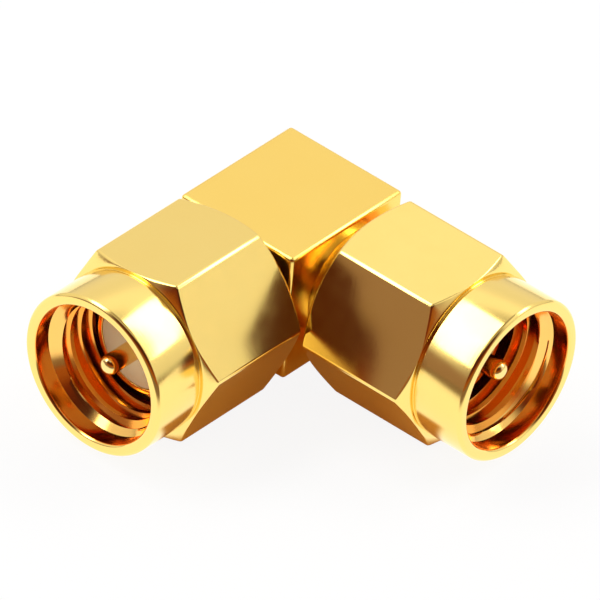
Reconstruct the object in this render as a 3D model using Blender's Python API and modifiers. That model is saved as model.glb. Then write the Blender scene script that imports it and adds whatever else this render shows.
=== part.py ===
"""Right-angle coaxial adapter with a plug on each arm.

The arms cross inside a square corner block. The left arm points along +X and
the right arm along +Y. The origin is on the block's underside, straight below
the crossing of the arms, and +Z is up. All sizes are in metres.

Each arm has a sleeve pressed into the block, an insulator and a contact inside
it, a gasket around its ferrule, and a coupling nut that spins on it behind a
split ring. The contacts meet at the crossing, which is reached through a hole
in the block's back that a small cap closes.
"""

import math

import bmesh
import bpy

# Corner block, a length of square bar that lies along the left arm
BAR_SIZE = 0.0065
BLOCK_BACK = 0.00325
BLOCK_GAP = 0.00025
BLOCK_EDGE = 0.00018
MAIN_BORE_RADIUS = 0.0015
CROSS_BORE_RADIUS = 0.0014
CROSS_BORE_DEPTH = 0.0006
SEAT_CLEARANCE = 0.0001

# Cap that is pressed into the back of the block
CAP_RADIUS = 0.00197
CAP_THICKNESS = 0.0006
CAP_EDGE = 0.0001
CAP_DEPTH = 0.00003

# Insulator and the walls of the sleeve around it
INSULATOR_RADIUS = 0.00203
FERRULE_WALL = 0.00023
GROOVE_WALL = 0.00024
SPIGOT_WALL = 0.00034
BARREL_WALL = 0.00059
SLEEVE_EDGE = 0.00005
SHOULDER_EDGE = 0.0001

# Places along an arm, each counted from the one before it
NUT_TAIL = 0.0017
RING_TO_SHOULDER = 0.0014
FERRULE_LENGTH = 0.00275
PIN_REACH = 0.00195
INSULATOR_RECESS = 0.00002

# Coupling nut, with its thread bored to the minor diameter
HEX_FLATS = 0.008
HEX_HALF_SIDE = math.radians(30.0)
HEX_LENGTH = 0.0061
HEX_REAR_CHAMFER = 0.00045
HEX_FRONT_CHAMFER = 0.00036
CHAMFER_ANGLE = math.radians(60.0)
BLANK_PAST = 0.00015
COLLAR_DROP = 0.00013
COLLAR_LENGTH = 0.0027
COLLAR_EDGE = 0.00012
NECK_DEPTH = 0.00017
NECK_LENGTH = 0.00025
THREAD_START = 0.0028
THREAD_LEAD = 0.0004
MOUTH_WALL = 0.00056
MOUTH_DEPTH = 0.0009
MOUTH_EDGE = 0.0001
NUT_CLEARANCE = 0.00005
LEFT_NUT_TURN = math.radians(6.4)
RIGHT_NUT_TURN = math.radians(4.0)

# Split ring between the barrel's groove and the nut's groove
RING_RADIAL = 0.00055
RING_THICKNESS = 0.0004
RING_SPLIT = 0.0008
RING_CLEARANCE = 0.00008

# Gasket around the ferrule, against the barrel's shoulder and inside the thread
GASKET_WIDTH = 0.00044
GASKET_THICKNESS = 0.0008
GASKET_CLEARANCE = 0.00005
GASKET_EDGE = 0.0001

# Contacts: the right one ends in a peg that fits a hole across the left one
CONTACT_RADIUS = 0.000635
CONTACT_TAIL = 0.0009
PIN_RADIUS = 0.00046
PIN_TIP_RADIUS = 0.00014
PIN_TIP_LENGTH = 0.00045
PEG_RADIUS = 0.0003
PEG_REACH = 0.00055

# Clearances: pressed or seated pieces, pieces that turn, and cutters past a face
SEAT_GAP = 0.00003
TURN_GAP = 0.00007
CUT_PAST = 0.001

# Steps around a turned shape
BODY_STEPS = 48
CONTACT_STEPS = 24
MERGE_LIMIT = 1e-7
SHARP_ANGLE = math.radians(35.0)

# Sizes that follow from those above
axis_height = BAR_SIZE / 2
hex_corner_radius = HEX_FLATS / 2 / math.cos(HEX_HALF_SIDE)
sleeve_bore_radius = INSULATOR_RADIUS + SEAT_GAP
ferrule_radius = sleeve_bore_radius + FERRULE_WALL
groove_floor_radius = sleeve_bore_radius + GROOVE_WALL
spigot_radius = sleeve_bore_radius + SPIGOT_WALL
barrel_radius = sleeve_bore_radius + BARREL_WALL
ring_inner_radius = groove_floor_radius + RING_CLEARANCE
ring_outer_radius = ring_inner_radius + RING_RADIAL
gasket_inner_radius = ferrule_radius + GASKET_CLEARANCE
gasket_outer_radius = gasket_inner_radius + GASKET_WIDTH
nut_bore_radius = barrel_radius + TURN_GAP
nut_groove_radius = ring_outer_radius + RING_CLEARANCE
thread_minor_radius = gasket_outer_radius + GASKET_CLEARANCE
collar_radius = HEX_FLATS / 2 - COLLAR_DROP
neck_radius = collar_radius - NECK_DEPTH
mouth_radius = collar_radius - MOUTH_WALL

# Distances from the crossing of the arms
seat = spigot_radius + SEAT_CLEARANCE
barrel_start = BAR_SIZE / 2
corner_start = max(hex_corner_radius + NUT_CLEARANCE,
                   barrel_start + BLOCK_GAP + HEX_REAR_CHAMFER)
nut_rear = corner_start - HEX_REAR_CHAMFER
block_front = nut_rear - BLOCK_GAP
ring_middle = nut_rear + NUT_TAIL
shoulder = ring_middle + RING_TO_SHOULDER
ferrule_face = shoulder + FERRULE_LENGTH
pin_tip = ferrule_face + PIN_REACH
hex_front = nut_rear + HEX_LENGTH
nut_mouth = hex_front + COLLAR_LENGTH


def clear_scene():
    """Remove every object of the open scene."""
    for obj in list(bpy.data.objects):
        bpy.data.objects.remove(obj, do_unlink=True)


def new_collection(name):
    """Return a new collection that is linked to the scene."""
    collection = bpy.data.collections.new(name)
    bpy.context.scene.collection.children.link(collection)
    return collection


def new_material(name, colour, roughness, metallic):
    """Return a Principled material."""
    material = bpy.data.materials.new(name)
    material.use_nodes = True
    shader = material.node_tree.nodes["Principled BSDF"]
    shader.inputs["Base Color"].default_value = (*colour, 1.0)
    shader.inputs["Roughness"].default_value = roughness
    shader.inputs["Metallic"].default_value = metallic
    return material


def place(obj, collection, material=None, parent=None):
    """Put an object in its collection, with its material and parent."""
    collection.objects.link(obj)
    obj.parent = parent
    if material:
        obj.data.materials.append(material)
    if collection == cutters:
        obj.hide_render = True
        obj.display_type = "WIRE"
    return obj


def turned(name, profile, collection, material=None, parent=None, hollow=False, steps=BODY_STEPS):
    """Turn a profile of (radius, height) points about Z.

    The points run down the outer side. A hollow profile comes back up its
    inner side and closes on itself.
    """
    points = [(radius, 0.0, height) for radius, height in profile]
    edges = [(index, index + 1) for index in range(len(points) - 1)]
    if hollow:
        edges.append((len(points) - 1, 0))
    mesh = bpy.data.meshes.new(name)
    mesh.from_pydata(points, edges, [])
    obj = place(bpy.data.objects.new(name, mesh), collection, material, parent)
    screw = obj.modifiers.new("Turn", "SCREW")
    screw.axis = "Z"
    screw.angle = 2 * math.pi
    screw.steps = steps
    screw.render_steps = steps
    screw.use_merge_vertices = True
    screw.merge_threshold = MERGE_LIMIT
    return obj


def box(name, size, centre, collection, material=None, parent=None):
    """Make a box whose size is in its mesh."""
    mesh = bpy.data.meshes.new(name)
    shape = bmesh.new()
    bmesh.ops.create_cube(shape, size=1.0)
    bmesh.ops.scale(shape, vec=size, verts=shape.verts)
    bmesh.ops.translate(shape, vec=centre, verts=shape.verts)
    shape.to_mesh(mesh)
    shape.free()
    return place(bpy.data.objects.new(name, mesh), collection, material, parent)


def hexagon(name, flats, bottom, top, turn, parent):
    """Make a hexagonal prism about Z with a corner towards +X, then turn it."""
    mesh = bpy.data.meshes.new(name)
    shape = bmesh.new()
    radius = flats / 2 / math.cos(HEX_HALF_SIDE)
    bmesh.ops.create_cone(shape, cap_ends=True, segments=6, radius1=radius, radius2=radius,
                          depth=top - bottom)
    bmesh.ops.translate(shape, vec=(0.0, 0.0, (top + bottom) / 2), verts=shape.verts)
    shape.to_mesh(mesh)
    shape.free()
    obj = place(bpy.data.objects.new(name, mesh), cutters, None, parent)
    obj.rotation_euler = (0.0, 0.0, HEX_HALF_SIDE + turn)
    return obj


def boolean(obj, cutter, operation="DIFFERENCE"):
    """Cut an object with another, or keep what they share."""
    modifier = obj.modifiers.new(cutter.name, "BOOLEAN")
    modifier.operation = operation
    modifier.solver = "EXACT"
    modifier.object = cutter


def arm_frame(name, heading):
    """Return an empty at the crossing whose Z axis is an arm's outward axis."""
    frame = bpy.data.objects.new(name, None)
    parts.objects.link(frame)
    frame.empty_display_size = BAR_SIZE
    frame.location = (0.0, 0.0, axis_height)
    frame.rotation_euler = (math.radians(90.0), 0.0, heading)
    return frame


def corner_block(left_arm, right_arm):
    """Square block with the two arms' bores and the hole at its back."""
    length = block_front + BLOCK_BACK
    block = box("corner_block", (length, BAR_SIZE, BAR_SIZE),
                ((block_front - BLOCK_BACK) / 2, 0.0, axis_height), parts, brass)
    bevel = block.modifiers.new("Edges", "BEVEL")
    bevel.width = BLOCK_EDGE
    bevel.segments = 2
    bevel.limit_method = "ANGLE"

    spigot_bore = spigot_radius + SEAT_GAP
    barrel_bore = barrel_radius + SEAT_GAP
    cap_bore = CAP_RADIUS + SEAT_GAP
    cap_floor = -BLOCK_BACK + CAP_DEPTH + CAP_THICKNESS + SEAT_GAP
    main_bore = turned("main_bore", [
        (0.0, block_front + CUT_PAST),
        (barrel_bore, block_front + CUT_PAST),
        (barrel_bore, barrel_start - SEAT_GAP),
        (spigot_bore, barrel_start - SEAT_GAP),
        (spigot_bore, seat - SEAT_GAP),
        (MAIN_BORE_RADIUS, seat - SEAT_GAP),
        (MAIN_BORE_RADIUS, cap_floor),
        (cap_bore, cap_floor),
        (cap_bore, -BLOCK_BACK - CUT_PAST),
        (0.0, -BLOCK_BACK - CUT_PAST),
    ], cutters, parent=left_arm)
    cross_bore = turned("cross_bore", [
        (0.0, barrel_start + CUT_PAST),
        (spigot_bore, barrel_start + CUT_PAST),
        (spigot_bore, seat - SEAT_GAP),
        (CROSS_BORE_RADIUS, seat - SEAT_GAP),
        (CROSS_BORE_RADIUS, 0.0),
        (0.0, -CROSS_BORE_DEPTH),
    ], cutters, parent=right_arm)
    boolean(block, main_bore)
    boolean(block, cross_bore)
    return block


def rear_cap(left_arm):
    """Disc that closes the hole behind the crossing, with a broken outer edge."""
    outside = -BLOCK_BACK + CAP_DEPTH
    return turned("rear_cap", [
        (0.0, outside + CAP_THICKNESS),
        (CAP_RADIUS, outside + CAP_THICKNESS),
        (CAP_RADIUS, outside + CAP_EDGE),
        (CAP_RADIUS - CAP_EDGE, outside),
        (0.0, outside),
    ], parts, brass, left_arm)


def sleeve(side, arm):
    """Outer conductor: spigot in the block, grooved barrel and thin ferrule."""
    groove_half = RING_THICKNESS / 2 + SEAT_GAP
    return turned(side + "_sleeve", [
        (ferrule_radius - SLEEVE_EDGE, ferrule_face),
        (ferrule_radius, ferrule_face - SLEEVE_EDGE),
        (ferrule_radius, shoulder),
        (barrel_radius - SHOULDER_EDGE, shoulder),
        (barrel_radius, shoulder - SHOULDER_EDGE),
        (barrel_radius, ring_middle + groove_half),
        (groove_floor_radius, ring_middle + groove_half),
        (groove_floor_radius, ring_middle - groove_half),
        (barrel_radius, ring_middle - groove_half),
        (barrel_radius, barrel_start),
        (spigot_radius, barrel_start),
        (spigot_radius, seat + SLEEVE_EDGE),
        (spigot_radius - SLEEVE_EDGE, seat),
        (sleeve_bore_radius, seat),
        (sleeve_bore_radius, ferrule_face - SLEEVE_EDGE),
        (sleeve_bore_radius + SLEEVE_EDGE, ferrule_face),
    ], parts, brass, arm, hollow=True)


def insulator(side, arm):
    """Plain tube between the sleeve and the contact."""
    face = ferrule_face - INSULATOR_RECESS
    bore = CONTACT_RADIUS + SEAT_GAP
    return turned(side + "_insulator", [
        (INSULATOR_RADIUS, face),
        (INSULATOR_RADIUS, seat),
        (bore, seat),
        (bore, face),
    ], parts, white_plastic, arm, hollow=True)


def contact_nose():
    """Upper part of both contacts' profiles: blunt cone, pin and shoulder."""
    return [
        (0.0, pin_tip),
        (PIN_TIP_RADIUS, pin_tip),
        (PIN_RADIUS, pin_tip - PIN_TIP_LENGTH),
        (PIN_RADIUS, ferrule_face),
        (CONTACT_RADIUS, ferrule_face - INSULATOR_RECESS),
    ]


def left_contact(left_arm, right_arm):
    """Contact that runs past the crossing and has a hole across it there."""
    contact = turned("left_contact", contact_nose() + [
        (CONTACT_RADIUS, -CONTACT_TAIL + SLEEVE_EDGE),
        (CONTACT_RADIUS - SLEEVE_EDGE, -CONTACT_TAIL),
        (0.0, -CONTACT_TAIL),
    ], parts, pin_gold, left_arm, steps=CONTACT_STEPS)
    reach = CONTACT_RADIUS + CUT_PAST
    peg_bore = PEG_RADIUS + SEAT_GAP
    hole = turned("peg_hole", [
        (0.0, reach),
        (peg_bore, reach),
        (peg_bore, -reach),
        (0.0, -reach),
    ], cutters, parent=right_arm, steps=CONTACT_STEPS)
    boolean(contact, hole)
    return contact


def right_contact(right_arm):
    """Contact whose inner end is a peg through the left contact."""
    return turned("right_contact", contact_nose() + [
        (CONTACT_RADIUS, CONTACT_RADIUS + SEAT_GAP),
        (PEG_RADIUS, CONTACT_RADIUS + SEAT_GAP),
        (PEG_RADIUS, -PEG_REACH),
        (0.0, -PEG_REACH),
    ], parts, pin_gold, right_arm, steps=CONTACT_STEPS)


def gasket(side, arm):
    """Rubber ring with broken edges around the ferrule."""
    bottom = shoulder + SEAT_GAP
    top = bottom + GASKET_THICKNESS
    return turned(side + "_gasket", [
        (gasket_outer_radius - GASKET_EDGE, top),
        (gasket_outer_radius, top - GASKET_EDGE),
        (gasket_outer_radius, bottom + GASKET_EDGE),
        (gasket_outer_radius - GASKET_EDGE, bottom),
        (gasket_inner_radius, bottom),
        (gasket_inner_radius, top),
    ], parts, rubber, arm, hollow=True)


def snap_ring(side, arm):
    """Split ring that holds the nut on the barrel."""
    half = RING_THICKNESS / 2
    ring = turned(side + "_snap_ring", [
        (ring_outer_radius, ring_middle + half),
        (ring_outer_radius, ring_middle - half),
        (ring_inner_radius, ring_middle - half),
        (ring_inner_radius, ring_middle + half),
    ], parts, spring_bronze, arm, hollow=True)
    split = box(side + "_ring_split", (RING_SPLIT, ring_outer_radius + CUT_PAST, 4 * half),
                (0.0, -(ring_outer_radius + CUT_PAST) / 2, ring_middle), cutters, parent=arm)
    boolean(ring, split)
    return ring


def coupling_nut(side, arm, turn):
    """Hexagonal nut with a round collar, turned inside for ring, gasket and thread."""
    slope = math.tan(CHAMFER_ANGLE)
    blank_radius = hex_corner_radius + BLANK_PAST
    rear_radius = hex_corner_radius - HEX_REAR_CHAMFER * slope
    front_radius = hex_corner_radius - HEX_FRONT_CHAMFER * slope
    groove_half = RING_THICKNESS / 2 + RING_CLEARANCE
    thread_start = nut_rear + THREAD_START
    lead_bottom = nut_mouth - MOUTH_DEPTH - THREAD_LEAD
    nut = turned(side + "_coupling_nut", [
        (collar_radius - COLLAR_EDGE, nut_mouth),
        (collar_radius, nut_mouth - COLLAR_EDGE),
        (collar_radius, hex_front + NECK_LENGTH),
        (neck_radius, hex_front + NECK_LENGTH / 2),
        (neck_radius, hex_front),
        (front_radius, hex_front),
        (blank_radius, hex_front - HEX_FRONT_CHAMFER - BLANK_PAST / slope),
        (blank_radius, corner_start + BLANK_PAST / slope),
        (rear_radius, nut_rear),
        (nut_bore_radius + MOUTH_EDGE, nut_rear),
        (nut_bore_radius, nut_rear + MOUTH_EDGE),
        (nut_bore_radius, ring_middle - groove_half),
        (nut_groove_radius, ring_middle - groove_half),
        (nut_groove_radius, ring_middle + groove_half),
        (nut_bore_radius, ring_middle + groove_half),
        (nut_bore_radius, thread_start),
        (thread_minor_radius, thread_start),
        (thread_minor_radius, lead_bottom),
        (mouth_radius, nut_mouth - MOUTH_DEPTH),
        (mouth_radius, nut_mouth - MOUTH_EDGE),
        (mouth_radius + MOUTH_EDGE, nut_mouth),
    ], parts, brass, arm, hollow=True)
    stock = hexagon(side + "_hex_stock", HEX_FLATS, nut_rear - CUT_PAST, nut_mouth + CUT_PAST,
                    turn, arm)
    boolean(nut, stock, "INTERSECT")
    return nut


def shade(obj):
    """Smooth shading with sharp edges kept on the object's mesh."""
    obj.data.shade_smooth()
    obj.data.set_sharp_from_angle(angle=SHARP_ANGLE)


clear_scene()
parts = new_collection("coax_adapter")
cutters = new_collection("cutters")

brass = new_material("gold_plated_brass", (0.93, 0.68, 0.27), 0.18, 1.0)
pin_gold = new_material("gold_plated_contact", (0.95, 0.72, 0.32), 0.15, 1.0)
spring_bronze = new_material("spring_bronze", (0.62, 0.42, 0.22), 0.35, 1.0)
white_plastic = new_material("white_insulator", (0.90, 0.88, 0.84), 0.45, 0.0)
rubber = new_material("orange_rubber", (0.75, 0.22, 0.10), 0.60, 0.0)

left = arm_frame("left_arm", math.radians(90.0))
right = arm_frame("right_arm", math.radians(180.0))

made = [
    corner_block(left, right),
    rear_cap(left),
    left_contact(left, right),
    right_contact(right),
]
for side_name, arm_empty, nut_turn in (("left", left, LEFT_NUT_TURN), ("right", right, RIGHT_NUT_TURN)):
    made.append(sleeve(side_name, arm_empty))
    made.append(insulator(side_name, arm_empty))
    made.append(gasket(side_name, arm_empty))
    made.append(snap_ring(side_name, arm_empty))
    made.append(coupling_nut(side_name, arm_empty, nut_turn))
for part in made:
    if part.data.polygons:
        shade(part)
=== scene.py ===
"""Looks of the right-angle coaxial adapter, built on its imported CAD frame.

Every piece is turned, lofted or milled again with finer faces and broken edges,
in the place and size of the node that it stands for. The coupling nuts get
their screw threads here. All sizes are in metres.
"""

import math

import bmesh
import bpy
from mathutils import Euler, Matrix, Vector


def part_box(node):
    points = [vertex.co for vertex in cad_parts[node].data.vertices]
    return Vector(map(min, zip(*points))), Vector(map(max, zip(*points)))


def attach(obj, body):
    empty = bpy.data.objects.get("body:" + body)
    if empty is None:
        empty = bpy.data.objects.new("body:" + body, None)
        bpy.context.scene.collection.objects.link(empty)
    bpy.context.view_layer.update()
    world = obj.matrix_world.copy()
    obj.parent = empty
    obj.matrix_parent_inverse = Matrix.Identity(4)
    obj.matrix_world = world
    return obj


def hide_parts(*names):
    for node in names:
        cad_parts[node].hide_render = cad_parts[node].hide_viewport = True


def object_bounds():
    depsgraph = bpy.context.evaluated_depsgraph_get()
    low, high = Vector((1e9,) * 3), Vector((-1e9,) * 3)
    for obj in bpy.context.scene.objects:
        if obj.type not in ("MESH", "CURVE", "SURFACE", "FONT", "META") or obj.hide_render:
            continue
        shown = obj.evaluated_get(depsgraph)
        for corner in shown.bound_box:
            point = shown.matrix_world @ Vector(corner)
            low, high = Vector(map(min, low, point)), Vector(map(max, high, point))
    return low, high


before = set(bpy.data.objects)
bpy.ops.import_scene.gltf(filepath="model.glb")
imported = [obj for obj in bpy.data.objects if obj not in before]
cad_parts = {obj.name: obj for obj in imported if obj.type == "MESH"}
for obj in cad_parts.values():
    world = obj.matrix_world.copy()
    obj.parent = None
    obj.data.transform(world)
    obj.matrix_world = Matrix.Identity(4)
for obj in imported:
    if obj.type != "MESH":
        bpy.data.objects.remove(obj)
cad_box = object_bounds()

# Coupling nut
HEX_FLATS = 0.008
HEX_LENGTH = 0.0061
HEX_REAR_CHAMFER = 0.00045
HEX_FRONT_CHAMFER = 0.00036
CHAMFER_SLOPE = math.tan(math.radians(60.0))
HEX_CORNER_EASE = 0.00022
COLLAR_DROP = 0.00013
COLLAR_EDGE = 0.00012
NECK_DEPTH = 0.00006
NECK_LENGTH = 0.00012
NUT_TURN = {"left": math.radians(6.4), "right": math.radians(4.0)}
NUT_BORE_RADIUS = 0.00272
RING_GROOVE_RADIUS = 0.00301
MOUTH_WALL = 0.00056
MOUTH_DEPTH = 0.0009
MOUTH_EDGE = 0.0001
THREAD_START = 0.0028
COLLAR_RADIUS = HEX_FLATS / 2 - COLLAR_DROP
MOUTH_RADIUS = COLLAR_RADIUS - MOUTH_WALL

# Screw thread of the coupling nut, 36 turns to the inch
THREAD_PITCH = 0.0254 / 36
THREAD_MAJOR_RADIUS = 0.003175
THREAD_MINOR_RADIUS = 0.00283
THREAD_FLANK_SLOPE = math.tan(math.radians(60.0))
THREAD_ROOT_FLAT = THREAD_PITCH / 8
THREAD_LEAD = 0.0004
THREAD_ROOT_DEPTH = {"left": 0.00189, "right": 0.00175}

# Sleeve, insulator, contact, gasket and rings
WALL_FERRULE = 0.00023
WALL_GROOVE = 0.00024
WALL_SPIGOT = 0.00034
SHOULDER_EDGE = 0.0001
SEAT_GAP = 0.00003
RING_GROOVE_GAP = 0.00008
RING_SPLIT = 0.0008
FERRULE_LENGTH = 0.00275
INSULATOR_RECESS = 0.00002
PIN_RADIUS = 0.00046
PIN_TIP_LENGTH = 0.00045
PIN_PAST_NODE = 0.0002
PIN_NOSE_POWER = 1.5
PIN_NOSE_STEPS = 8
PEG_RADIUS = 0.0003
GASKET_EDGE = 0.0001

# Corner block
BLOCK_EDGE = 0.00018
MAIN_BORE_RADIUS = 0.0015
CROSS_BORE_RADIUS = 0.0014
CROSS_BORE_DEPTH = 0.0006
CAP_EDGE = 0.0001

# Broken edges and mesh steps
FINE_EDGE = 0.00002
NUT_EDGE = 0.00008
EDGE_SHARE = 0.4
EDGE_STEPS = 3
TURN_STEPS = 128
FLAT_STEPS = 20
CORNER_STEPS = 6
CUT_PAST = 0.001
MERGE_LIMIT = 1e-8
SHARP_ANGLE = math.radians(50.0)

# The photograph's camera: its heading, height and roll, and its pixels on the object
PHOTO_SIZE = 600
CAMERA_HEADING = math.radians(128.7)
CAMERA_HEIGHT = math.radians(37.4)
CAMERA_ROLL = math.radians(4.65)
PIXELS_PER_METRE = 23160.0
CAMERA_DISTANCE = 0.8
SENSOR_WIDTH = 36.0
VIEW_CENTRE = (0.0025, 0.00265)

# Studio: a white tent, open behind the camera towards a dim warm room, with a strip softbox
# above each side. A softbox's place and size are counted in its own height above the adapter.
# Headings here start at +X. Stops are the light at a height, from 0 level to 1 straight up.
OPENING_HEADING = math.radians(38.7)
TOWARDS_OPENING = (math.cos(OPENING_HEADING), math.sin(OPENING_HEADING), 0.0)
OPENING_EDGE = (math.cos(math.radians(75.0)), math.cos(math.radians(50.0)))
DIM_ROOM = (0.07, 0.02, 0.015)
ROOM_GLOW = (0.36, 0.11, 0.02)
ZENITH = (0.36, 0.30, 0.26)
TENT_STOPS = (
    (0.0, (0.45, 0.45, 0.42)),
    (0.1, (0.85, 0.85, 0.85)),
    (0.3, (0.93, 0.93, 0.93)),
    (0.5, (0.92, 0.92, 0.92)),
    (0.62, (1.0, 1.0, 1.0)),
    (0.68, (1.15, 1.15, 1.15)),
    (0.8, (1.15, 1.15, 1.15)),
    (0.9, (0.50, 0.48, 0.45)),
    (1.0, ZENITH),
)
OPENING_STOPS = (
    (0.0, ROOM_GLOW),
    (0.14, ROOM_GLOW),
    (0.3, (0.16, 0.03, 0.012)),
    (0.52, DIM_ROOM),
    (0.78, DIM_ROOM),
    (0.86, (0.7, 0.68, 0.66)),
    (1.0, ZENITH),
)
CARD_DIRECTION = (0.807, -0.586, -0.07)
CARD_EDGE = (math.cos(math.radians(27.0)), math.cos(math.radians(18.0)))
CARD_BROWN = (0.34, 0.22, 0.19)
SOFTBOX_HEIGHT = 0.4
SOFTBOX_LIGHT = 4.0

# Floor: white to the camera. Reflections and bounced light see painted shade under the two arms, tinted
# warm as painted light bounced from the gold. Reflections also see a painted dim floor towards the opening
# and a painted reflection brighter than white elsewhere. A lift is the share of its own glow, away from
# the arms and under them.
FLOOR_RADIUS = 1.5
FLOOR_SIDES = 96
FLOOR_LIFT = 0.9
NEAR_PAINTED_SHADE_LIFT = 0.15
WHITE = (1.0, 1.0, 1.0)
PAPER_WHITES = ((0.92, 0.92, 0.92), (0.93, 0.93, 0.93))
# Painted bright reflection: the floor as reflections see it, brighter than white
PAINTED_BRIGHT_REFLECTION = (1.25, 1.25, 1.25)
# Painted shade under the arms, tinted warm as painted light bounced from the gold
PAINTED_WARM_SHADE = (0.80, 0.43, 0.12)
UNDER_ARM_END = (0.0105, 0.0099)
UNDER_ARM_SIDE = (0.0049, 0.0043)
# Painted dim reflection of the floor towards the opening, seen only in reflections
PAINTED_DIM_REFLECTION = (0.16, 0.08, 0.04)
PAINTED_DIM_START = (0.018, 0.03)

# Finishes: two colours between which each one wanders, and the shares and depths of its marks
NUT_GOLDS = ((0.965, 0.71, 0.22), (0.955, 0.675, 0.19))
BODY_GOLDS = ((0.96, 0.67, 0.17), (0.95, 0.64, 0.145))
PIN_GOLDS = ((0.97, 0.72, 0.28), (0.95, 0.69, 0.24))
# Painted light bounced between the gold walls of a nut's bore: a redder gold, and its share on the lead-in
# cone
BORE_PAINTED_BOUNCE = (0.97, 0.39, 0.06)
LEAD_PAINTED_BOUNCE_SHARE = 0.45
GOLD_SMUDGE = 0.10
GOLD_MARKS = 0.05
GOLD_GRAIN = 0.25
# White fluoropolymer, painted warm yellow as painted light bounced from the gold
FLUOROPOLYMER_PAINTED_WARM = ((1.0, 0.92, 0.58), (0.97, 0.87, 0.52))
SILICONE = ((0.55, 0.10, 0.04), (0.75, 0.20, 0.08))
BRONZE = ((0.62, 0.40, 0.20), (0.48, 0.28, 0.13))
FACING_DEPTH = 0.000003
RUBBER_DEPTH = 0.000006

# Factors on coordinates
MM_PER_METRE = 1000.0
LEVEL = (1.0, 1.0, 0.0)

# The two arms: heading of each one's frame, and its axis in the shared frame
ARM_HEADING = {"left": math.radians(90.0), "right": math.radians(180.0)}
ARM_AXIS = {"left": 0, "right": 1}


def span(node, side):
    """Start and end of a node along an arm, counted from the crossing."""
    low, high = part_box(node)
    return low[ARM_AXIS[side]], high[ARM_AXIS[side]]


def radius(node):
    """Outer radius of a round node, half its height."""
    low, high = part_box(node)
    return (high.z - low.z) / 2


insulator_low, insulator_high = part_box("left_insulator")
axis_height = (insulator_low.z + insulator_high.z) / 2


def arm_matrix(side):
    """Place and turn of an arm: its local Z runs outward from the crossing."""
    turn = Euler((math.radians(90.0), 0.0, ARM_HEADING[side])).to_matrix().to_4x4()
    return Matrix.Translation((0.0, 0.0, axis_height)) @ turn


# Meshes

def new_piece(name, mesh, side=None):
    """Link a mesh as an object, in an arm's frame if a side is given."""
    piece = bpy.data.objects.new(name, mesh)
    bpy.context.scene.collection.objects.link(piece)
    if side:
        piece.matrix_world = arm_matrix(side)
    return piece


def eased(profile, size, closed=True):
    """Turn every corner of a profile of (radius, height) points into a small arc."""
    points = [Vector(point) for point in profile]
    result = []
    for index, corner in enumerate(points):
        if not closed and index in (0, len(points) - 1):
            result.append(corner)
            continue
        before = points[index - 1] - corner
        after = points[(index + 1) % len(points)] - corner
        reach = min(size, EDGE_SHARE * before.length, EDGE_SHARE * after.length)
        start = corner + before.normalized() * reach
        end = corner + after.normalized() * reach
        for step in range(EDGE_STEPS + 1):
            share = step / EDGE_STEPS
            result.append(start.lerp(corner, share).lerp(corner.lerp(end, share), share))
    return result


def finished_mesh(name, shape):
    """Close, clean and smooth a shape and return it as a mesh."""
    bmesh.ops.remove_doubles(shape, verts=shape.verts, dist=MERGE_LIMIT)
    bmesh.ops.dissolve_degenerate(shape, edges=shape.edges, dist=MERGE_LIMIT)
    bmesh.ops.recalc_face_normals(shape, faces=shape.faces)
    mesh = bpy.data.meshes.new(name)
    shape.to_mesh(mesh)
    shape.free()
    mesh.shade_smooth()
    mesh.set_sharp_from_angle(angle=SHARP_ANGLE)
    return mesh


def add_weighted_normals(piece):
    """Keep large faces flat where they meet a small rounded edge."""
    weighted = piece.modifiers.new("Flat faces", "WEIGHTED_NORMAL")
    weighted.keep_sharp = True
    weighted.weight = 100
    weighted.thresh = 0.0


def turned_shape(profile, edge=FINE_EDGE, closed=True, steps=TURN_STEPS, sweep=math.tau):
    """Turn a profile about Z as a bmesh. A part turn gets its two end faces."""
    points = eased(profile, edge, closed)
    full = sweep >= math.tau
    shape = bmesh.new()
    columns = []
    for step in range(steps if full else steps + 1):
        angle = sweep * step / steps - sweep / 2 + math.pi / 2
        columns.append([shape.verts.new((point[0] * math.cos(angle), point[0] * math.sin(angle), point[1]))
                        for point in points])
    pairs = [(index, (index + 1) % len(columns)) for index in range(len(columns) if full else steps)]
    rows = len(points) if closed else len(points) - 1
    for here, there in pairs:
        for row in range(rows):
            after = (row + 1) % len(points)
            shape.faces.new((columns[here][row], columns[there][row],
                             columns[there][after], columns[here][after]))
    if not full:
        shape.faces.new(columns[0])
        shape.faces.new(columns[-1][::-1])
    return shape


def turned(name, profile, side, **settings):
    """Make a turned piece on an arm's axis."""
    piece = new_piece(name, finished_mesh(name, turned_shape(profile, **settings)), side)
    add_weighted_normals(piece)
    return piece


def cut(piece, cutter_shape, side):
    """Cut a shape that stands in an arm's frame out of a piece."""
    cutter = new_piece("cutter", finished_mesh("cutter", cutter_shape), side)
    hole = piece.modifiers.new("Hole", "BOOLEAN")
    hole.operation = "DIFFERENCE"
    hole.solver = "EXACT"
    hole.object = cutter
    bpy.context.view_layer.update()
    result = bpy.data.meshes.new_from_object(piece.evaluated_get(bpy.context.evaluated_depsgraph_get()))
    piece.modifiers.remove(hole)
    piece.data = result
    bpy.data.objects.remove(cutter, do_unlink=True)


# Coupling nut

def hexagon_outline(turn):
    """Points around a hexagon with rounded corners, as (radius, angle)."""
    sixth = math.radians(60.0)
    apothem = HEX_FLATS / 2
    half_flat = (apothem - HEX_CORNER_EASE) * math.tan(sixth / 2)
    corner_x = apothem - HEX_CORNER_EASE
    outline = []
    for side in range(6):
        middle = turn + sixth * (side + 0.5)
        local = [(apothem, half_flat * (2 * step / FLAT_STEPS - 1)) for step in range(FLAT_STEPS + 1)]
        for step in range(1, CORNER_STEPS):
            bend = sixth * step / CORNER_STEPS
            local.append((corner_x + HEX_CORNER_EASE * math.cos(bend),
                          half_flat + HEX_CORNER_EASE * math.sin(bend)))
        outline += [(math.hypot(x, y), middle + math.atan2(y, x)) for x, y in local]
    return outline


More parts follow.
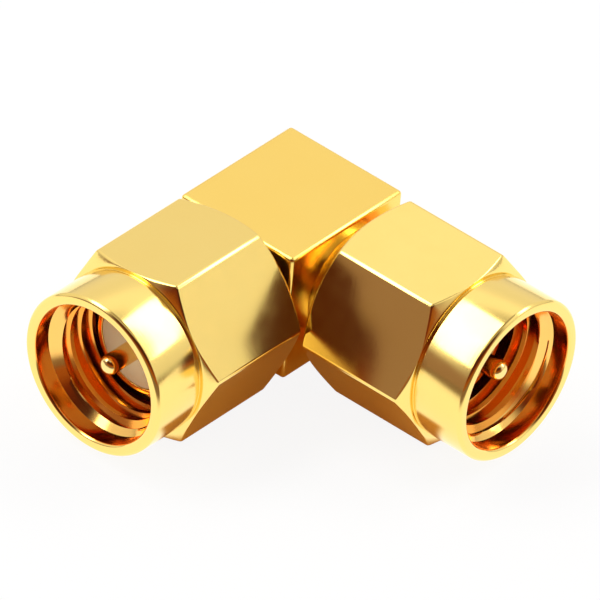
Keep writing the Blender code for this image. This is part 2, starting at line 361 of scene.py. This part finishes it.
def thread_rows():
    """Heights of the rows in one pitch of the thread, from the middle of its root."""
    half_root = THREAD_ROOT_FLAT / 2
    half_crest = half_root + (THREAD_MAJOR_RADIUS - THREAD_MINOR_RADIUS) / THREAD_FLANK_SLOPE
    rows = []
    for start, end, steps in ((-half_root, half_root, 1), (half_root, half_crest, 3),
                              (half_crest, THREAD_PITCH - half_crest, 2),
                              (THREAD_PITCH - half_crest, THREAD_PITCH - half_root, 3)):
        rows += [start + (end - start) * step / steps for step in range(steps)]
    return rows


def thread_radius(height, angle, root_height):
    """Radius of the thread's surface at a height and an angle."""
    offset = (height - root_height - THREAD_PITCH * angle / math.tau) % THREAD_PITCH
    offset = min(offset, THREAD_PITCH - offset)
    return THREAD_MAJOR_RADIUS - max(0.0, offset - THREAD_ROOT_FLAT / 2) * THREAD_FLANK_SLOPE


def nut_outside(hex_radius, nut, ring):
    """Profile of one column of a nut, from the recess over the outside to the thread's start."""
    rear, mouth = nut
    groove_start = ring[0] - RING_GROOVE_GAP
    groove_end = ring[1] + RING_GROOVE_GAP
    hex_corner = HEX_FLATS / 2 / math.cos(math.radians(30.0))
    rear_radius = hex_corner - HEX_REAR_CHAMFER * CHAMFER_SLOPE
    front_radius = hex_corner - HEX_FRONT_CHAMFER * CHAMFER_SLOPE
    hex_front = rear + HEX_LENGTH
    return [
        (MOUTH_RADIUS, mouth - MOUTH_DEPTH),
        (MOUTH_RADIUS, mouth - MOUTH_EDGE),
        (MOUTH_RADIUS + MOUTH_EDGE, mouth),
        (COLLAR_RADIUS - COLLAR_EDGE, mouth),
        (COLLAR_RADIUS, mouth - COLLAR_EDGE),
        (COLLAR_RADIUS, hex_front + NECK_LENGTH),
        (COLLAR_RADIUS - NECK_DEPTH, hex_front + NECK_LENGTH / 2),
        (COLLAR_RADIUS - NECK_DEPTH, hex_front),
        (front_radius, hex_front),
        (hex_radius, hex_front - (hex_radius - front_radius) / CHAMFER_SLOPE),
        (hex_radius, rear + (hex_radius - rear_radius) / CHAMFER_SLOPE),
        (rear_radius, rear),
        (NUT_BORE_RADIUS + MOUTH_EDGE, rear),
        (NUT_BORE_RADIUS, rear + MOUTH_EDGE),
        (NUT_BORE_RADIUS, groove_start),
        (RING_GROOVE_RADIUS, groove_start),
        (RING_GROOVE_RADIUS, groove_end),
        (NUT_BORE_RADIUS, groove_end),
        (NUT_BORE_RADIUS, rear + THREAD_START),
    ]


def nut_inside(angle, nut, root):
    """Profile of one column of a nut's threaded bore and its lead-in cone, from the thread's start."""
    thread_start = nut[0] + THREAD_START
    recess_floor = nut[1] - MOUTH_DEPTH
    lead_bottom = recess_floor - THREAD_LEAD
    first_root = root - THREAD_PITCH * math.ceil((root - thread_start) / THREAD_PITCH + 2)
    turns = math.ceil((recess_floor - thread_start) / THREAD_PITCH) + 4
    column = []
    for turn in range(turns):
        for row in thread_rows():
            height = first_root + row + THREAD_PITCH * (turn + angle / math.tau)
            height = min(max(height, thread_start), recess_floor)
            lead = max(0.0, (height - lead_bottom) / THREAD_LEAD) * (MOUTH_RADIUS - THREAD_MINOR_RADIUS)
            column.append((max(THREAD_MINOR_RADIUS + lead, thread_radius(height, angle, root)), height))
    return column


def add_column(shape, profile, angle):
    """Add the vertices of a profile that stands at an angle about Z."""
    direction = Vector((math.cos(angle), math.sin(angle), 0.0))
    return [shape.verts.new(direction * point[0] + Vector((0.0, 0.0, point[1]))) for point in profile]


def coupling_nut(side):
    """Hexagonal nut with its chamfers, round collar, ring groove and screw thread."""
    node = side + "_coupling_nut"
    nut_span = span(node, side)
    ring_span = span(side + "_snap_ring", side)
    root = nut_span[1] - THREAD_ROOT_DEPTH[side]
    shape = bmesh.new()
    columns = []
    for hex_radius, angle in hexagon_outline(NUT_TURN[side]):
        outer = eased(nut_outside(hex_radius, nut_span, ring_span), NUT_EDGE, closed=False)
        inner = nut_inside(angle, nut_span, root)
        columns.append((add_column(shape, outer, angle), add_column(shape, inner, angle)))
    for index, (outer, inner) in enumerate(columns):
        last = index == len(columns) - 1
        next_outer, next_inner = columns[0 if last else index + 1]
        for row in range(len(outer) - 1):
            shape.faces.new((outer[row], next_outer[row], next_outer[row + 1], outer[row + 1]))
        # A row has risen by one pitch when it comes round to the first column
        rise = len(thread_rows()) if last else 0
        for row in range(len(inner) - 1 - rise):
            above = row + rise
            shape.faces.new((inner[row], next_inner[above], next_inner[above + 1], inner[row + 1]))
        shape.faces.new((outer[-1], next_outer[-1], next_inner[0], inner[0]))
    nut = new_piece(side + "_threaded_nut", finished_mesh(side + "_threaded_nut", shape), side)
    add_weighted_normals(nut)
    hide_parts(node)
    nut.data.materials.append(nut_gold)
    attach(nut, side + "_nut")
    return nut


# Pieces of the body

def dress(piece, node, material):
    """Let a piece stand for a node of the body, with its finish."""
    piece.data.materials.clear()
    piece.data.materials.append(material)
    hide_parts(node)
    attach(piece, "adapter_body")
    return piece


def sleeve_profile(side):
    """Sleeve: spigot in the block, grooved barrel, shoulder and thin ferrule."""
    seat, face = span(side + "_sleeve", side)
    ring_start, ring_end = span(side + "_snap_ring", side)
    bore = radius(side + "_insulator") + SEAT_GAP
    barrel = radius(side + "_sleeve")
    ferrule = bore + WALL_FERRULE
    spigot = bore + WALL_SPIGOT
    groove = bore + WALL_GROOVE
    shoulder = face - FERRULE_LENGTH
    barrel_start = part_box("corner_block")[1].y
    return [
        (bore, face),
        (ferrule, face),
        (ferrule, shoulder),
        (barrel - SHOULDER_EDGE, shoulder),
        (barrel, shoulder - SHOULDER_EDGE),
        (barrel, ring_end + SEAT_GAP),
        (groove, ring_end + SEAT_GAP),
        (groove, ring_start - SEAT_GAP),
        (barrel, ring_start - SEAT_GAP),
        (barrel, barrel_start),
        (spigot, barrel_start),
        (spigot, seat),
        (bore, seat),
    ]


def insulator_profile(side):
    """Insulator: a tube around the contact."""
    start, face = span(side + "_insulator", side)
    outer = radius(side + "_insulator")
    bore = radius(side + "_contact") + SEAT_GAP
    return [(bore, face), (outer, face), (outer, start), (bore, start)]


def gasket_profile(side):
    """Gasket with broken outer edges."""
    bottom, top = span(side + "_gasket", side)
    outer = radius(side + "_gasket")
    inner = radius(side + "_insulator") + SEAT_GAP + WALL_FERRULE + FINE_EDGE
    return [
        (outer - GASKET_EDGE, top),
        (outer, top - GASKET_EDGE),
        (outer, bottom + GASKET_EDGE),
        (outer - GASKET_EDGE, bottom),
        (inner, bottom),
        (inner, top),
    ]


def nose_profile(side):
    """Pin of a contact, from its blunt tip to its shoulder in the insulator."""
    tip = span(side + "_contact", side)[1] + PIN_PAST_NODE
    face = span(side + "_sleeve", side)[1]
    nose = []
    for step in range(PIN_NOSE_STEPS + 1):
        bend = step / PIN_NOSE_STEPS * math.pi / 2
        drop = PIN_TIP_LENGTH * (1 - math.cos(bend) ** (1 / PIN_NOSE_POWER))
        nose.append((PIN_RADIUS * math.sin(bend), tip - drop))
    return nose + [
        (PIN_RADIUS, face),
        (radius(side + "_contact"), face - INSULATOR_RECESS),
    ]


def left_contact():
    """Contact that runs past the crossing and has the peg's hole across it."""
    body = radius("left_contact")
    tail = span("left_contact", "left")[0]
    profile = nose_profile("left") + [(body, tail), (0.0, tail)]
    contact = turned("left_pin", profile, "left", closed=False)
    reach = body + CUT_PAST
    peg_bore = PEG_RADIUS + SEAT_GAP
    hole = [(0.0, reach), (peg_bore, reach), (peg_bore, -reach), (0.0, -reach)]
    cut(contact, turned_shape(hole, closed=False), "right")
    return contact


def right_contact():
    """Contact whose inner end is a peg through the left one."""
    body = radius("right_contact")
    peg_end = span("right_contact", "right")[0]
    peg_start = radius("left_contact") + SEAT_GAP
    return turned("right_pin", nose_profile("right") + [
        (body, peg_start), (PEG_RADIUS, peg_start), (PEG_RADIUS, peg_end), (0.0, peg_end),
    ], "right", closed=False)


def snap_ring(side):
    """Ring with a split at its underside."""
    start, end = span(side + "_snap_ring", side)
    outer = radius(side + "_snap_ring")
    inner = radius(side + "_insulator") + SEAT_GAP + WALL_GROOVE + RING_GROOVE_GAP
    split = 2 * math.asin(RING_SPLIT / 2 / outer)
    return turned(side + "_split_ring", [(outer, end), (outer, start), (inner, start), (inner, end)],
                  side, sweep=math.tau - split)


def rear_cap():
    """Disc that closes the hole behind the crossing."""
    outside, inside = span("rear_cap", "left")
    edge = radius("rear_cap")
    return turned("closing_cap", [
        (0.0, inside), (edge, inside), (edge, outside + CAP_EDGE), (edge - CAP_EDGE, outside),
        (0.0, outside),
    ], "left", closed=False)


def corner_block():
    """Square block with rounded edges and the bores of both arms."""
    low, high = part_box("corner_block")
    centre = (low + high) / 2
    size = high - low
    shape = bmesh.new()
    bmesh.ops.create_cube(shape, size=1.0)
    bmesh.ops.scale(shape, vec=size, verts=shape.verts)
    bmesh.ops.translate(shape, vec=centre, verts=shape.verts)
    bmesh.ops.bevel(shape, geom=shape.edges[:], offset=BLOCK_EDGE, segments=4, profile=0.5,
                    affect="EDGES", clamp_overlap=True)
    block = new_piece("milled_block", finished_mesh("milled_block", shape))
    seat = span("left_sleeve", "left")[0] - SEAT_GAP
    step = high.y - SEAT_GAP
    bore = radius("left_insulator") + SEAT_GAP
    spigot = bore + WALL_SPIGOT + SEAT_GAP
    barrel = radius("left_sleeve") + SEAT_GAP
    cap = radius("rear_cap") + SEAT_GAP
    cap_floor = span("rear_cap", "left")[1] + SEAT_GAP
    cut(block, turned_shape([
        (0.0, high.x + CUT_PAST), (barrel, high.x + CUT_PAST), (barrel, step), (spigot, step),
        (spigot, seat), (MAIN_BORE_RADIUS, seat), (MAIN_BORE_RADIUS, cap_floor), (cap, cap_floor),
        (cap, low.x - CUT_PAST), (0.0, low.x - CUT_PAST),
    ], closed=False), "left")
    cut(block, turned_shape([
        (0.0, high.y + CUT_PAST), (spigot, high.y + CUT_PAST), (spigot, seat),
        (CROSS_BORE_RADIUS, seat), (CROSS_BORE_RADIUS, 0.0), (0.0, -CROSS_BORE_DEPTH),
    ], closed=False), "right")
    block.data.shade_smooth()
    block.data.set_sharp_from_angle(angle=SHARP_ANGLE)
    add_weighted_normals(block)
    return block


# Materials

class Value:
    """One output of a shader node. Arithmetic on it adds Math nodes."""

    def __init__(self, finish, output):
        self.finish = finish
        self.output = output

    def __add__(self, other):
        return self.finish.maths("ADD", self, other)

    def __radd__(self, other):
        return self.finish.maths("ADD", other, self)

    def __sub__(self, other):
        return self.finish.maths("SUBTRACT", self, other)

    def __rsub__(self, other):
        return self.finish.maths("SUBTRACT", other, self)

    def __mul__(self, other):
        return self.finish.maths("MULTIPLY", self, other)

    def __rmul__(self, other):
        return self.finish.maths("MULTIPLY", other, self)


class Finish:
    """A material or world whose nodes are added one by one."""

    def __init__(self, owner):
        owner.use_nodes = True
        self.owner = owner
        self.tree = owner.node_tree
        self.tree.nodes.clear()

    def node(self, kind, settings=None, inputs=None, output=0):
        """Add a node: its settings first, then the values or links of its sockets."""
        node = self.tree.nodes.new(kind)
        for name, value in (settings or {}).items():
            if name == "stops":
                ramp = node.color_ramp
                while len(ramp.elements) < len(value):
                    ramp.elements.new(1.0)
                for element, (position, colour) in zip(ramp.elements, value):
                    element.position = position
                    element.color = (*colour, 1.0)
            else:
                setattr(node, name, value)
        for name, value in (inputs or {}).items():
            socket = node.inputs[name]
            if isinstance(value, Value):
                self.tree.links.new(value.output, socket)
            elif socket.type == "RGBA":
                socket.default_value = (*value, 1.0)
            else:
                socket.default_value = value
        return Value(self, node.outputs[output]) if node.outputs else node

    def maths(self, operation, first, second):
        """Result of a Math node."""
        return self.node("ShaderNodeMath", {"operation": operation}, {0: first, 1: second})

    def vector(self, operation, first, second=(0.0, 0.0, 0.0), output="Vector"):
        """Result of a Vector Math node."""
        inputs = {0: first, 1: second}
        return self.node("ShaderNodeVectorMath", {"operation": operation}, inputs, output)

    def place(self):
        """Object coordinates in metres."""
        return self.node("ShaderNodeTexCoord", output="Object")

    def coordinates(self):
        """Object coordinates in millimetres."""
        return self.vector("MULTIPLY", self.place(), (MM_PER_METRE, MM_PER_METRE, MM_PER_METRE))

    def part(self, vector, axis):
        """The X, Y or Z part of a vector."""
        return self.node("ShaderNodeSeparateXYZ", inputs={0: vector}, output=axis)

    def reach(self, vector):
        """Distance of a place from the Z axis."""
        return self.vector("LENGTH", self.vector("MULTIPLY", vector, LEVEL), output="Value")

    def along(self, vector, direction):
        """Length of a vector along a direction."""
        return self.vector("DOT_PRODUCT", vector, direction, output="Value")

    def noise(self, vector, scale, detail=2.0, roughness=0.5):
        """Noise from 0 to 1 on a vector in millimetres."""
        return self.node("ShaderNodeTexNoise", inputs={
            "Vector": vector, "Scale": scale, "Detail": detail, "Roughness": roughness})

    def ramp(self, value, stops):
        """Colour that follows a value through stops of (position, colour)."""
        return self.node("ShaderNodeValToRGB", {"stops": stops}, {0: value})

    def rise(self, value, edge):
        """Share that rises smoothly from 0 to 1 between an edge's two values."""
        return self.node("ShaderNodeMapRange", {"interpolation_type": "SMOOTHSTEP"},
                         {"Value": value, "From Min": edge[0], "From Max": edge[1]})

    def mix(self, share, first, second):
        """Mix two colours by a share."""
        inputs = {0: share, 6: first, 7: second}
        return self.node("ShaderNodeMix", {"data_type": "RGBA"}, inputs, output=2)

    def bump(self, height, distance):
        """Normal of a bumped surface whose heights are a distance deep."""
        return self.node("ShaderNodeBump", inputs={"Height": height, "Distance": distance})

    def surface(self, inputs):
        """Finish with a Principled surface."""
        shader = self.node("ShaderNodeBsdfPrincipled", inputs=inputs)
        self.node("ShaderNodeOutputMaterial", inputs={"Surface": shader})
        return self.owner


def turning_lines(finish, lines_per_mm):
    """Fine marks that a lathe leaves around the local Z axis."""
    place = finish.place()
    path = (finish.reach(place) + finish.part(place, "Z")) * (MM_PER_METRE * lines_per_mm)
    marks = finish.node("ShaderNodeCombineXYZ", inputs={0: path})
    return finish.noise(marks, scale=1.0, detail=3.0, roughness=0.6)


def gold_plating(name, colours, roughness, lines_per_mm, line_depth, bore=None):
    """Bright gold plating over machined brass, slightly uneven in colour and shine.

    A bore is its radius and the heights of its lead-in cone's outer and inner end. The gold is
    painted redder in it, and partly so on the cone, as painted light bounced between its gold walls.
    """
    finish = Finish(bpy.data.materials.new(name))
    spots = finish.coordinates()
    cloud = finish.noise(spots, scale=0.35, detail=3.0)
    smudge = finish.noise(spots, scale=1.4, detail=4.0)
    grain = finish.noise(spots, scale=9.0)
    marks = turning_lines(finish, lines_per_mm)
    colour = finish.mix(cloud, *colours)
    if bore:
        bore_radius, cone_top, cone_bottom = bore
        place = finish.place()
        height = finish.part(place, "Z")
        above = finish.rise(height, (cone_top, cone_top + FINE_EDGE))
        below = finish.rise(height, (cone_bottom, cone_bottom - FINE_EDGE))
        inside = finish.rise(finish.reach(place), (bore_radius + FINE_EDGE, bore_radius))
        # Painted bounce light: the bore is painted a redder gold, and the lead-in cone partly so
        share = inside * ((above + below) * (1.0 - LEAD_PAINTED_BOUNCE_SHARE) + LEAD_PAINTED_BOUNCE_SHARE)
        colour = finish.mix(share, colour, BORE_PAINTED_BOUNCE)
    return finish.surface({
        "Base Color": colour,
        "Metallic": 1.0,
        "Roughness": roughness + (smudge - 0.5) * GOLD_SMUDGE + (marks - 0.5) * GOLD_MARKS,
        "Normal": finish.bump(marks + grain * GOLD_GRAIN, line_depth),
    })


def white_plastic():
    """Waxy white fluoropolymer with faint facing marks, its colour painted warm yellow as painted light
    bounced from the gold.
    """
    finish = Finish(bpy.data.materials.new("insulator_white_painted_warm"))
    mottle = finish.noise(finish.coordinates(), scale=1.2, detail=3.0)
    marks = turning_lines(finish, lines_per_mm=14.0)
    return finish.surface({
        "Base Color": finish.mix(mottle, *FLUOROPOLYMER_PAINTED_WARM),
        "Roughness": 0.38 + mottle * 0.15,
        "Normal": finish.bump(marks + mottle * 0.5, FACING_DEPTH),
    })


def orange_rubber():
    """Matt silicone rubber with a fine grain."""
    finish = Finish(bpy.data.materials.new("gasket_orange"))
    grain = finish.noise(finish.coordinates(), scale=12.0, detail=3.0)
    return finish.surface({
        "Base Color": finish.mix(grain, *SILICONE),
        "Roughness": 0.55 + grain * 0.2,
        "Normal": finish.bump(grain, RUBBER_DEPTH),
    })


def spring_bronze():
    """Plain spring bronze, drawn and slightly stained."""
    finish = Finish(bpy.data.materials.new("spring_bronze_drawn"))
    stain = finish.noise(finish.coordinates(), scale=1.6, detail=4.0)
    return finish.surface({
        "Base Color": finish.mix(stain, *BRONZE),
        "Metallic": 1.0,
        "Roughness": 0.28 + stain * 0.2,
        "Normal": finish.bump(turning_lines(finish, lines_per_mm=10.0), FACING_DEPTH),
    })


# Stage, lights and camera

def floor():
    """White floor that shows the adapter's shadow faintly. Reflections and bounced light see painted shade
    under the adapter's arms, and reflections also see a painted dim and a painted bright floor.
    """
    shape = bmesh.new()
    bmesh.ops.create_circle(shape, cap_ends=True, radius=FLOOR_RADIUS, segments=FLOOR_SIDES)
    bmesh.ops.translate(shape, vec=(0.0, 0.0, cad_box[0].z), verts=shape.verts)
    mesh = bpy.data.meshes.new("floor")
    shape.to_mesh(mesh)
    shape.free()
    plate = new_piece("floor", mesh)
    finish = Finish(bpy.data.materials.new("white_floor"))
    place = finish.place()
    # The larger of X and Y runs outward along an arm, and the smaller one across it
    both = (finish.part(place, "X"), finish.part(place, "Y"))
    outward = finish.maths("MAXIMUM", *both)
    sideways = finish.maths("MINIMUM", *both)
    # Painted shade zone under the two arms, seen only by reflections and bounced light
    painted_shade_zone = finish.rise(sideways, UNDER_ARM_SIDE) * finish.rise(0.0 - sideways, UNDER_ARM_SIDE)
    clear_of_painted_shade = 1.0 - finish.rise(outward, UNDER_ARM_END) * painted_shade_zone
    # Painted dim reflection: towards the opening the floor looks dark to reflections only
    in_painted_dim = finish.rise(finish.along(place, TOWARDS_OPENING), PAINTED_DIM_START)
    seen = finish.node("ShaderNodeLightPath", output="Is Camera Ray")
    mirrored = (finish.node("ShaderNodeLightPath", output="Is Glossy Ray")
                + finish.node("ShaderNodeLightPath", output="Is Transmission Ray"))
    white = finish.mix(finish.noise(finish.coordinates(), scale=0.02), *PAPER_WHITES)
    # Away from the camera the paper is painted dark and warm under the arms: painted shade and painted
    # gold bounce light
    paper = finish.node("ShaderNodeBsdfPrincipled", inputs={
        "Base Color": finish.mix(seen + clear_of_painted_shade, PAINTED_WARM_SHADE, white), "Roughness": 0.9})
    # Painted reflections of the floor: warm shade under the arms, dim towards the opening, brighter than
    # white elsewhere
    painted_reflection = finish.mix(in_painted_dim, finish.mix(clear_of_painted_shade, PAINTED_WARM_SHADE, PAINTED_BRIGHT_REFLECTION), PAINTED_DIM_REFLECTION)
    glow = finish.node("ShaderNodeEmission", inputs={
        "Color": finish.mix(seen, painted_reflection, WHITE), "Strength": 1.0})
    # Reflections get less glow under the arms, which is painted shade there
    lift = seen * FLOOR_LIFT + mirrored * (clear_of_painted_shade * (FLOOR_LIFT - NEAR_PAINTED_SHADE_LIFT) + NEAR_PAINTED_SHADE_LIFT)
    surface = finish.node("ShaderNodeMixShader", inputs={0: lift, 1: paper, 2: glow})
    finish.node("ShaderNodeOutputMaterial", inputs={"Surface": surface})
    plate.data.materials.append(finish.owner)


def studio_world():
    """White tent with an opening behind the camera and a brown card low on the left."""
    world = bpy.data.worlds.new("studio")
    bpy.context.scene.world = world
    finish = Finish(world)
    direction = finish.node("ShaderNodeTexCoord", output="Generated")
    height = finish.part(direction, "Z")
    tent = finish.ramp(height, TENT_STOPS)
    opening = finish.ramp(height, OPENING_STOPS)
    level = finish.vector("NORMALIZE", finish.vector("MULTIPLY", direction, LEVEL))
    in_opening = finish.rise(finish.along(level, TOWARDS_OPENING), OPENING_EDGE)
    on_card = finish.rise(finish.along(direction, CARD_DIRECTION), CARD_EDGE)
    light = finish.mix(on_card, finish.mix(in_opening, tent, opening), CARD_BROWN)
    shine = finish.node("ShaderNodeBackground", inputs={"Color": light, "Strength": 1.0})
    finish.node("ShaderNodeOutputWorld", inputs={"Surface": shine})


def softbox(name, across, back, width, depth, slant):
    """Level strip lamp above the adapter, placed across and back as the camera sees it."""
    lamp = bpy.data.lights.new(name, "AREA")
    lamp.shape = "RECTANGLE"
    lamp.size = width * SOFTBOX_HEIGHT
    lamp.size_y = depth * SOFTBOX_HEIGHT
    lamp.energy = SOFTBOX_LIGHT * math.pi * lamp.size * lamp.size_y
    holder = bpy.data.objects.new(name, lamp)
    bpy.context.scene.collection.objects.link(holder)
    turn = Matrix.Rotation(OPENING_HEADING + math.pi / 2, 4, "Z")
    place = Vector((across * SOFTBOX_HEIGHT, back * SOFTBOX_HEIGHT, axis_height + SOFTBOX_HEIGHT))
    slanted = Matrix.Rotation(math.radians(slant), 4, "Z")
    holder.matrix_world = turn @ Matrix.Translation(place) @ slanted


def camera():
    """Camera with the photograph's heading, height, roll and scale."""
    back = Vector((math.sin(CAMERA_HEADING) * math.cos(CAMERA_HEIGHT),
                   -math.cos(CAMERA_HEADING) * math.cos(CAMERA_HEIGHT),
                   math.sin(CAMERA_HEIGHT)))
    right = (-back).cross(Vector((0.0, 0.0, 1.0))).normalized()
    up = right.cross(-back)
    rolled_right = right * math.cos(CAMERA_ROLL) + up * math.sin(CAMERA_ROLL)
    rolled_up = up * math.cos(CAMERA_ROLL) - right * math.sin(CAMERA_ROLL)
    lens = bpy.data.cameras.new("photo_camera")
    lens.sensor_width = SENSOR_WIDTH
    lens.lens = PIXELS_PER_METRE * SENSOR_WIDTH / PHOTO_SIZE * CAMERA_DISTANCE
    lens.clip_start = CAMERA_DISTANCE / 100
    lens.clip_end = CAMERA_DISTANCE * 10
    holder = bpy.data.objects.new("photo_camera", lens)
    bpy.context.scene.collection.objects.link(holder)
    place = Vector((*VIEW_CENTRE, axis_height)) + back * CAMERA_DISTANCE
    turn = Matrix((rolled_right, rolled_up, back)).transposed().to_4x4()
    holder.matrix_world = Matrix.Translation(place) @ turn
    bpy.context.scene.camera = holder


lead_top = span("left_coupling_nut", "left")[1] - MOUTH_DEPTH
nut_gold = gold_plating("nut_gold", NUT_GOLDS, roughness=0.14, lines_per_mm=12.0, line_depth=1.2e-6,
                        bore=(MOUTH_RADIUS + FINE_EDGE, lead_top, lead_top - THREAD_LEAD))
body_gold = gold_plating("body_gold", BODY_GOLDS, roughness=0.20, lines_per_mm=9.0, line_depth=1.0e-6)
pin_gold = gold_plating("pin_gold", PIN_GOLDS, roughness=0.12, lines_per_mm=20.0, line_depth=0.8e-6)
plastic = white_plastic()
rubber = orange_rubber()
bronze = spring_bronze()

dress(corner_block(), "corner_block", body_gold)
dress(rear_cap(), "rear_cap", body_gold)
dress(left_contact(), "left_contact", pin_gold)
dress(right_contact(), "right_contact", pin_gold)
for side in ARM_HEADING:
    barrel = turned(side + "_barrel", sleeve_profile(side), side)
    tube = turned(side + "_tube", insulator_profile(side), side)
    seal = turned(side + "_seal", gasket_profile(side), side)
    dress(barrel, side + "_sleeve", body_gold)
    dress(tube, side + "_insulator", plastic)
    dress(seal, side + "_gasket", rubber)
    dress(snap_ring(side), side + "_snap_ring", bronze)
    coupling_nut(side)

floor()
studio_world()
softbox("left_softbox", across=-1.08, back=-0.14, width=2.0, depth=0.50, slant=34.0)
softbox("right_softbox", across=1.40, back=0.31, width=2.0, depth=0.45, slant=-14.0)
camera()
bpy.context.scene.view_settings.view_transform = "Standard"
